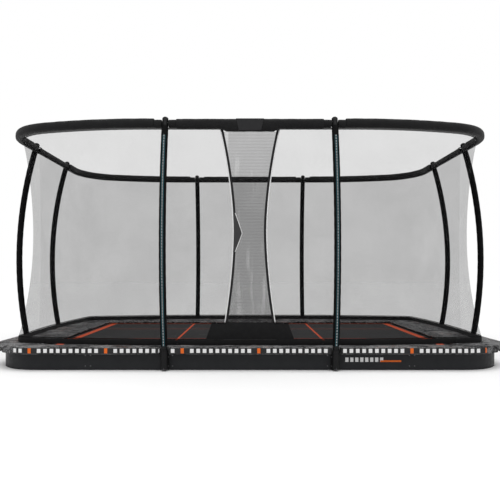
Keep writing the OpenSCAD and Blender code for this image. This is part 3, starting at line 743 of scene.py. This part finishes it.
def entrance_panel():
    """The low panel across the entrance, its middle third a little taller."""
    cols, rows, points, pat = 96, 16, [], []
    for j in range(rows + 1):
        k = j / rows
        half = PANEL_HALF - PANEL_TAPER * k
        for i in range(cols + 1):
            u = -half + 2 * half * i / cols
            middle = min(max((PANEL_MID - abs(u)) / PANEL_RAMP, 0), 1)
            v = PANEL_LOW + (PANEL_TOP + PANEL_RISE * middle - PANEL_LOW) * k
            crown = 0.0016 * math.sin(math.pi * k) + 0.0009 * math.sin(u * 31) * k
            seam = -0.0018 * math.exp(-((abs(u) - PANEL_MID) / 0.004) ** 2)
            points.append(on_front(u, v, PANEL_OUT + crown + seam))
            pat.append((u + 1, v, 0))
    obj = piece("soft_panel", points, grid_faces(cols, rows), SKIRT_CLOTH, FRAME_BODY,
                pat)
    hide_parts("entrance_panel")


TAB_LOW, TAB_TIP, TAB_HIGH = 0.855, 1.033, 1.227
TAB_WIDE = 0.062
TAB_LAP = 0.022
TAB_OUT = 0.0082
TAB_PIPING_R = 0.0030


def tab_reach(v):
    """How far the tab stands past the binding's inner edge."""
    side = TAB_HIGH - TAB_TIP if v > TAB_TIP else TAB_TIP - TAB_LOW
    return TAB_WIDE * (1 - abs(v - TAB_TIP) / side)


def pull_tab():
    """Triangular tab sewn over the left binding, piped along its free edge."""
    rows, cols, points, pat, line = 36, 12, [], [], []
    for v in curve_rows(TAB_LOW, TAB_HIGH, rows):
        edge = -gap(NET_Z + v)
        wide = TAB_LAP + tab_reach(v)
        for i in range(cols + 1):
            u = edge - TAB_LAP + wide * i / cols
            out = TAB_OUT + 0.0012 * math.sin(math.pi * i / cols)
            points.append(on_front(u, v, out))
            pat.append((v, u - edge, 0))
        line.append(on_front(edge + tab_reach(v) + 0.001, v, 0.0086))
    obj = piece("soft_pull_tab", points, grid_faces(cols, rows), TAB_CLOTH, FRAME_BODY,
                pat)
    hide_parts("pull_tab")
    piping("piping_tab", line, TAB_PIPING_R)


entrance_flap()
entrance_edges()
entrance_panel()
pull_tab()

# ---- jumping mat, rings and springs ----


def mat_outline(inset, n=12):
    """The mat's rounded rectangle, drawn in by inset."""
    l, w, r = MAT_X - inset, MAT_Y - inset, MAT_R - inset
    out = []
    for cx, cy, a0 in ((l - r, w - r, 0), (r - l, w - r, 90), (r - l, r - w, 180),
                       (l - r, r - w, 270)):
        for k in range(n + 1):
            a = math.radians(a0 + 90 * k / n)
            out.append((cx + r * math.cos(a), cy + r * math.sin(a)))
    return out


def jumping_mat():
    """The woven sheet with its folded hem, one big face inside the hem."""
    insets = [0.0, 0.004, 0.030, 0.034, 0.060, 0.110, 0.160]
    lifts = [-0.0012, 0.0, 0.0, -0.0010, -0.0010, -0.0012, -0.0012]
    points = [(x, y, MAT_Z + dz) for inset, dz in zip(insets, lifts)
              for x, y in mat_outline(inset)]
    n = len(mat_outline(0))
    faces = grid_faces(n, len(insets) - 1, wrap=True)
    faces.append(list(range((len(insets) - 1) * n, len(insets) * n)))
    obj = piece("soft_mat", points, faces, WEAVE, MAT_BODY, smooth=False)
    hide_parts("mat")


def spring_places():
    """Point on the mat's edge and outward angle of every spring, in eight groups."""
    nx = int((MAT_X - MAT_R) / SPRING_PITCH)
    ny = int((MAT_Y - MAT_R) / SPRING_PITCH)
    groups = {
        "back": [(i * SPRING_PITCH, MAT_Y, 90) for i in range(-nx, nx + 1)],
        "front": [(i * SPRING_PITCH, -MAT_Y, -90) for i in range(-nx, nx + 1)],
        "right": [(MAT_X, i * SPRING_PITCH, 0) for i in range(-ny, ny + 1)],
        "left": [(-MAT_X, i * SPRING_PITCH, 180) for i in range(-ny, ny + 1)],
    }
    for name, mx, my in (("back_right", 1, 1), ("back_left", -1, 1),
                         ("front_right", 1, -1), ("front_left", -1, -1)):
        out = []
        for a in (22.5, 45, 67.5):
            r = math.radians(a)
            x = mx * (MAT_X - MAT_R + MAT_R * math.cos(r))
            y = my * (MAT_Y - MAT_R + MAT_R * math.sin(r))
            out.append((x, y, math.degrees(math.atan2(my * math.sin(r), mx * math.cos(r)))))
        groups[name] = out
    return groups


LOOP = 0.012
SPRING_IN = 2 * LOOP + 0.005 + 0.003
SPRING_OUT = 0.215 - 0.025 - 0.002
SPRING_FALL = 0.030
COIL_R, COIL_TURNS, COIL_STEPS, COIL_END = 0.0084, 22, 9, 0.10
SPRING_WIRE_R, RING_WIRE_R = 0.0016, 0.0022


def springs_and_rings():
    """Coil springs that stretch between rail and mat, and a wire triangle for each."""
    rings = []
    for group, places in spring_places().items():
        coils = []
        for x, y, a in places:
            c, s = math.cos(math.radians(a)), math.sin(math.radians(a))
            out, side, up = np.array([c, s, 0]), np.array([-s, c, 0]), np.array([0, 0, 1.0])
            base = np.array([x, y, MAT_Z - MAT_T / 2])
            fall = -SPRING_FALL / (SPRING_OUT - SPRING_IN)
            ahead = (out + fall * up) / math.hypot(1, fall)
            over = np.cross(ahead, side)
            length = (SPRING_OUT - SPRING_IN) * math.hypot(1, fall) - 0.002
            n = COIL_TURNS * COIL_STEPS
            line = []
            for k in range(n + 1):
                f = k / n
                r = COIL_R * min(1, f / COIL_END, (1 - f) / COIL_END)
                w = 2 * math.pi * COIL_TURNS * f
                line.append(base + SPRING_IN * out + ahead * length * f
                            + r * (math.cos(w) * side + math.sin(w) * over))
            line = np.array(line)
            tangent = np.gradient(line, axis=0)
            tangent /= np.linalg.norm(tangent, axis=1)[:, None]
            n1 = np.cross(tangent, ahead + 0.001)
            n1 /= np.linalg.norm(n1, axis=1)[:, None]
            coils.append(tube(line, SPRING_WIRE_R, 5, n1, np.cross(tangent, n1)))
            tri = [base + 0.0028 * out + LOOP * side, base + 0.0028 * out - LOOP * side,
                   base + 0.0285 * out]
            wire = np.array([tri[q] * (1 - k / 8) + tri[(q + 1) % 3] * (k / 8)
                             for q in range(3) for k in range(8)] + [tri[0]])
            _, n2, n3 = frames_of(wire)
            rings.append(tube(wire, RING_WIRE_R, 6, n2, n3))
        points, faces = joined(coils)
        obj = piece("springs_" + group, points, faces, ZINC, None)
        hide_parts("springs")
        x, y, a = places[len(places) // 2]
        c, s = math.cos(math.radians(a)), math.sin(math.radians(a))
        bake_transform(obj)
    points, faces = joined(rings)
    obj = piece("mat_rings_wire", points, faces, ZINC, MAT_BODY)
    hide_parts("mat_rings")


springs_and_rings()
jumping_mat()

# ---- pads ----

VOXEL = 0.009
SEAMS_LONG = np.array([-1.830, -1.098, -0.366, 0.366, 1.098, 1.830])
SEAMS_SHORT = np.array([-0.900, 0.0, 0.900])
SEAM_DEEP, EDGE_SEAM_DEEP, RIPPLE = 0.005, 0.0030, 0.0007
CLOTH_FRAMES = 12
CLOTH_PRESSURE = 2.0
SWELL_MOST = 0.008


def coordinates(mesh):
    """Every vertex's place, as rows."""
    co = np.zeros(len(mesh.vertices) * 3)
    mesh.vertices.foreach_get("co", co)
    return co.reshape(-1, 3)


def swelling(obj, held):
    """How far each point moves when the cover is blown up as cloth, its held points fixed."""
    group = obj.vertex_groups.new(name="held")
    group.add([int(i) for i in np.nonzero(held)[0]], 1.0, "REPLACE")
    before = coordinates(obj.data)
    cloth = obj.modifiers.new("cloth", "CLOTH")
    cloth.settings.quality = 4
    cloth.settings.vertex_group_mass = "held"
    cloth.settings.use_pressure = True
    cloth.settings.uniform_pressure_force = CLOTH_PRESSURE
    cloth.settings.effector_weights.gravity = 0
    cloth.collision_settings.use_collision = False
    cloth.point_cache.frame_start, cloth.point_cache.frame_end = 1, CLOTH_FRAMES
    scene = bpy.context.scene
    first = scene.frame_current
    for f in range(1, CLOTH_FRAMES + 1):
        scene.frame_set(f)
    dg = bpy.context.evaluated_depsgraph_get()
    blown = bpy.data.meshes.new_from_object(obj.evaluated_get(dg))
    move = coordinates(blown) - before
    bpy.data.meshes.remove(blown)
    obj.modifiers.remove(cloth)
    obj.vertex_groups.remove(group)
    scene.frame_set(first)
    far = np.linalg.norm(move, axis=1)
    return move * (np.minimum(far, SWELL_MOST) / np.maximum(far, 1e-9))[:, None]


def pad(name):
    """The CAD block remeshed and blown up as cloth, with its seams held and pressed in."""
    source = NODES[name]
    mesh = source.data.copy()
    mesh.materials.clear()
    obj = bpy.data.objects.new("soft_" + name, mesh)
    bpy.context.scene.collection.objects.link(obj)
    remesh = obj.modifiers.new("remesh", "REMESH")
    remesh.mode = "VOXEL"
    remesh.voxel_size = VOXEL
    smooth = obj.modifiers.new("smooth", "SMOOTH")
    smooth.factor, smooth.iterations = 0.5, 3
    dg = bpy.context.evaluated_depsgraph_get()
    built = bpy.data.meshes.new_from_object(obj.evaluated_get(dg))
    obj.modifiers.clear()
    obj.data = built
    co = coordinates(built)
    normal = np.zeros(co.size)
    built.vertices.foreach_get("normal", normal)
    normal = normal.reshape(-1, 3)
    long_side = name in ("pad_front", "pad_back")
    along = co[:, 0] if long_side else co[:, 1]
    reach = np.abs(co[:, 1]) if long_side else np.abs(co[:, 0])
    inner, outer = (PAD_IN_Y, PAD_OUT_Y) if long_side else (PAD_IN_X, PAD_OUT_X)
    share = np.clip((reach - inner) / (outer - inner), 0, 1)
    up = np.clip(normal[:, 2], 0, 1)
    seams = SEAMS_LONG if long_side else SEAMS_SHORT
    seam = np.exp(-(np.abs(along[:, None] - seams).min(1) / 0.010) ** 2)
    held = (seam > 0.5) | (normal[:, 2] < -0.5) | (share > 0.97) | (share < 0.03)
    co += swelling(obj, held)
    ripple = RIPPLE * np.sin(along * 37 + 4 * np.sin(along * 5)) * np.sin(np.pi * share)
    edge_seam = EDGE_SEAM_DEEP * np.exp(-((share - 0.955) / 0.010) ** 2)
    rise = ripple - SEAM_DEEP * seam - edge_seam
    co += up[:, None] * np.array([0, 0, 1.0]) * rise[:, None]
    built.vertices.foreach_set("co", co.ravel())
    strip = ((np.abs(normal[:, 2]) < 0.55) & (share > 0.9)).astype(float)
    a = built.attributes.new("pat", "FLOAT_VECTOR", "POINT")
    a.data.foreach_set("vector", np.stack([along, co[:, 2], strip], 1).astype(np.float32).ravel())
    built.polygons.foreach_set("use_smooth", [True] * len(built.polygons))
    built.materials.clear()
    built.materials.append(PADS)
    built.update()
    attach(obj, FRAME_BODY)
    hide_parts(name)


for side_name in ("front", "back", "left", "right"):
    pad("pad_" + side_name)

# ---- post sleeves ----


def post_line(out, z):
    """Distance outward and height of a post's axis, leaning about its kink."""
    arc = -math.sqrt(POST_R ** 2 - (BOW_Z - KINK_Z) ** 2)
    bow = lambda h: arc + math.sqrt(POST_R ** 2 - (h - BOW_Z) ** 2)
    a = math.atan((TOP_OUT - out - bow(RING_Z)) / (RING_Z - KINK_Z))
    x, h = bow(z), z - KINK_Z
    return x * math.cos(a) + h * math.sin(a), KINK_Z + h * math.cos(a) - x * math.sin(a)


SLEEVE_R = 0.0325
SLEEVE_DRAW = 0.0022
SLEEVE_ROWS, SLEEVE_SIDES = 150, 28


def post_sleeve(x, y, angle, out):
    """Points, faces and print places of one bowed sleeve, drawn in at its ends."""
    c, s = math.cos(math.radians(angle)), math.sin(math.radians(angle))
    outward, side = np.array([c, s, 0]), np.array([-s, c, 0])
    heights = curve_rows(SLEEVE_Z, RING_Z - 0.019, SLEEVE_ROWS)
    line = []
    for z in heights:
        d, h = post_line(out, z)
        line.append(np.array([x, y, h]) + outward * d)
    sides, points, pat = SLEEVE_SIDES, [], []
    for i, p in enumerate(line):
        near_end = min(i, len(line) - 1 - i)
        shrink = SLEEVE_DRAW * math.exp(-near_end / 1.2)
        for k in range(sides):
            a = 2 * math.pi * k / sides - math.pi
            wrinkle = 0.0005 * math.sin(heights[i] * 60 + 2 * math.sin(a * 2))
            r = SLEEVE_R - shrink + wrinkle
            points.append(p + r * (math.cos(a) * outward + math.sin(a) * side))
            pat.append((heights[i], a * SLEEVE_R, 0))
    return points, grid_faces(sides, len(line) - 1, wrap=True), pat


def post_sleeves():
    """The eight sleeves, two on each side."""
    foot_y, foot_x = RING_W + LONG_OUT, RING_L + SHORT_OUT
    places = [(mx * POST_X, my * foot_y, 90 * my, LONG_OUT) for mx in (-1, 1) for my in (-1, 1)]
    places += [(mx * foot_x, my * POST_Y, 90 - 90 * mx, SHORT_OUT)
               for mx in (-1, 1) for my in (-1, 1)]
    for number, place in enumerate(places, 1):
        points, faces, pat = post_sleeve(*place)
        obj = piece(f"soft_post_sleeve_{number}", points, faces, SLEEVE, FRAME_BODY,
                    pat)
        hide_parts("post_sleeves")


post_sleeves()

# ---- padded ring sleeves ----


def ring_section(high, low, half_in, half_out, sides=28):
    """Closed section: out and up distances from the ring's centre line."""
    out = []
    for k in range(sides):
        a = 2 * math.pi * k / sides
        c, s = math.cos(a), math.sin(a)
        out.append(((half_out if c > 0 else half_in) * math.copysign(abs(c) ** 0.8, c),
                    (high if s > 0 else low) * math.copysign(abs(s) ** 0.8, s)))
    return np.array(out)


def ring_sleeve(name, line, section, nodes, x=False, y=False, droop=None):
    """A padded sleeve along a plan line; droop hangs its middle lower."""
    s, normal = plan_frame(line)
    points, pat, sides = [], [], len(section)
    for i in range(len(line)):
        end = min(s[i], s[-1] - s[i])
        draw = 1 - 0.05 * math.exp(-end / 0.008)
        for k, (out, up) in enumerate(section):
            crease = 0.0005 * math.sin(s[i] * 31 + 2.4 * math.sin(s[i] * 7) + k * 0.5)
            crease += 0.0002 * math.sin(s[i] * 83 + 3 * math.sin(s[i] * 4) + k * 1.1)
            grow = draw + crease / 0.042
            xy = line[i] + normal[i] * out * grow
            if droop and up < 0:
                up *= 1 + droop * min(max((0.285 - abs(line[i][0])) / 0.06, 0), 1)
            points.append((xy[0], xy[1], RING_Z + up * grow))
            pat.append((s[i], 0.0 if k == (3 * sides) // 4 else 0.02, 0))
    faces = grid_faces(sides, len(line) - 1, wrap=True, flip=x == y)
    obj = piece(name, mirrored(points, x, y), faces, RING_CLOTH, FRAME_BODY, pat)
    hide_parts(*nodes)


RING_STEP = 0.014


def ring_line(s0, s1):
    n = max(8, int((s1 - s0) / RING_STEP))
    return [RING.at(s0 + (s1 - s0) * i / n) for i in range(n + 1)]


def straight(a, b):
    n = max(8, int(np.linalg.norm(np.subtract(b, a)) / RING_STEP))
    return [np.array(a) + (np.array(b) - np.array(a)) * i / n for i in range(n + 1)]


NECK_GAP = 0.0335  # just outside the post's sleeve
LONG = ring_section(0.048, 0.046, 0.037, 0.040)
BACK = ring_section(0.050, 0.038, 0.036, 0.040)
SHORT = ring_section(0.034, 0.034, 0.033, 0.037)
FRONT_CORNER = ring_section(0.052, 0.036, 0.036, 0.042)
BACK_CORNER = ring_section(0.054, 0.039, 0.036, 0.042)
NECK = ring_section(0.040, 0.038, 0.034, 0.038)

end_x, end_y = POST_X - NECK_END, POST_Y - NECK_END
ring_sleeve("soft_ring_front", straight((-end_x, -RING_W), (end_x, -RING_W)), LONG,
            ["ring_sleeve_front"], droop=0.55)
ring_sleeve("soft_ring_back", straight((-end_x, -RING_W), (end_x, -RING_W)), BACK,
            ["ring_sleeve_back"], y=True)
ring_sleeve("soft_ring_right", straight((RING_L, -end_y), (RING_L, end_y)), SHORT,
            ["ring_sleeve_right"])
ring_sleeve("soft_ring_left", straight((RING_L, -end_y), (RING_L, end_y)), SHORT,
            ["ring_sleeve_left"], x=True)
corner_end = RING.total - POST_Y - NECK_END
for mx, my, tag in ((False, False, "front_right"), (True, False, "front_left"),
                    (False, True, "back_right"), (True, True, "back_left")):
    ring_sleeve("soft_ring_" + tag, ring_line(POST_X + NECK_END, corner_end),
                BACK_CORNER if my else FRONT_CORNER, ["ring_sleeve_" + tag], mx, my)
    runs = [straight((POST_X + NECK_GAP, -RING_W), (POST_X + NECK_END - 0.001, -RING_W)),
            straight((POST_X - NECK_END + 0.001, -RING_W), (POST_X - NECK_GAP, -RING_W)),
            straight((RING_L, -POST_Y - NECK_END + 0.001), (RING_L, -POST_Y - NECK_GAP)),
            straight((RING_L, -POST_Y + NECK_GAP), (RING_L, -POST_Y + NECK_END - 0.001))]
    for number, run in enumerate(runs, 1):
        ring_sleeve(f"soft_collar_{tag}_{number}", run, NECK, ["ring_collars"], mx, my)


BADGE_HALF, BADGE_FLARE = 0.106, 0.027


def badge():
    """Plain crowned patch with a raised rim, wider at the top."""
    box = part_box("ring_badge")
    cols, rows, points = 40, 20, []
    for j in range(rows + 1):
        k = j / rows
        half = BADGE_HALF + BADGE_FLARE * k
        for i in range(cols + 1):
            u = -1 + 2 * i / cols
            rim = min(1 - abs(u), 1 - abs(2 * k - 1)) * half
            lift = 0.0010 + 0.0028 * min(1, rim / 0.006)
            lift -= 0.0012 * min(1, max(0, rim - 0.008) / 0.004)
            points.append((u * half, box[1].y - lift, box[0].z + (box[1].z - box[0].z) * k))
    obj = piece("soft_badge", points, grid_faces(cols, rows), BADGE, FRAME_BODY)
    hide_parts("ring_badge")


badge()

# ---- floor, light and camera ----


def floor():
    mesh = bpy.data.meshes.new("floor")
    b = bmesh.new()
    bmesh.ops.create_grid(b, x_segments=8, y_segments=8, size=40)
    b.to_mesh(mesh)
    b.free()
    m = Look("floor", (0.86, 0.86, 0.86), 0.9)
    m.colour(m.mix(m.noise(0.6), (0.85, 0.85, 0.85), (0.88, 0.88, 0.88)))
    mesh.materials.append(m.mat)
    obj = bpy.data.objects.new("floor", mesh)
    obj.location = (0, 0, -0.001)
    bpy.context.scene.collection.objects.link(obj)


ROOM_LIGHT = 0.40
SUN_LIGHT = 2.6
KEY_LIGHT = 60


def area_light(name, place, target, size, power):
    data = bpy.data.lights.new(name, "AREA")
    data.shape, data.size, data.energy = "DISK", size, power
    obj = bpy.data.objects.new(name, data)
    obj.location = place
    aim = Vector(target) - Vector(place)
    obj.rotation_mode = "QUATERNION"
    obj.rotation_quaternion = aim.to_track_quat("-Z", "Y")
    bpy.context.scene.collection.objects.link(obj)


def light():
    """White studio: white to the camera, softer as a light, with a wide high sun."""
    world = bpy.data.worlds.new("studio")
    world.use_nodes = True
    tree = world.node_tree
    soft = tree.nodes["Background"]
    soft.inputs["Color"].default_value = (1, 1, 1, 1)
    soft.inputs["Strength"].default_value = ROOM_LIGHT
    wall = tree.nodes.new("ShaderNodeBackground")
    wall.inputs["Color"].default_value = (1, 1, 1, 1)
    seen = tree.nodes.new("ShaderNodeLightPath")
    mixer = tree.nodes.new("ShaderNodeMixShader")
    tree.links.new(seen.outputs["Is Camera Ray"], mixer.inputs[0])
    tree.links.new(soft.outputs[0], mixer.inputs[1])
    tree.links.new(wall.outputs[0], mixer.inputs[2])
    tree.links.new(mixer.outputs[0], tree.nodes["World Output"].inputs["Surface"])
    bpy.context.scene.world = world
    sun = bpy.data.lights.new("top", "SUN")
    sun.energy, sun.angle = SUN_LIGHT, 1.3
    obj = bpy.data.objects.new("top", sun)
    obj.rotation_euler = (math.radians(12), math.radians(6), 0)
    bpy.context.scene.collection.objects.link(obj)
    area_light("key", (-4, -7, 5), (0, 0, 0.8), 4, KEY_LIGHT)


CAMERA_AT = (0, -6.43, 0.93)
FOCAL, SHIFT = 516 / 500, 22.6 / 500  # in widths of the picture


def camera():
    """Straight-on view from the entrance side, with a small upward shift."""
    data = bpy.data.cameras.new("camera")
    data.sensor_width = 36
    data.lens = FOCAL * data.sensor_width
    data.shift_y = SHIFT
    data.clip_end = 200
    obj = bpy.data.objects.new("camera", data)
    obj.location = CAMERA_AT
    obj.rotation_euler = (math.pi / 2, 0, 0)
    bpy.context.scene.collection.objects.link(obj)
    bpy.context.scene.camera = obj


floor()
light()
camera()
bpy.context.scene.view_settings.view_transform = "Standard"
bpy.context.view_layer.update()
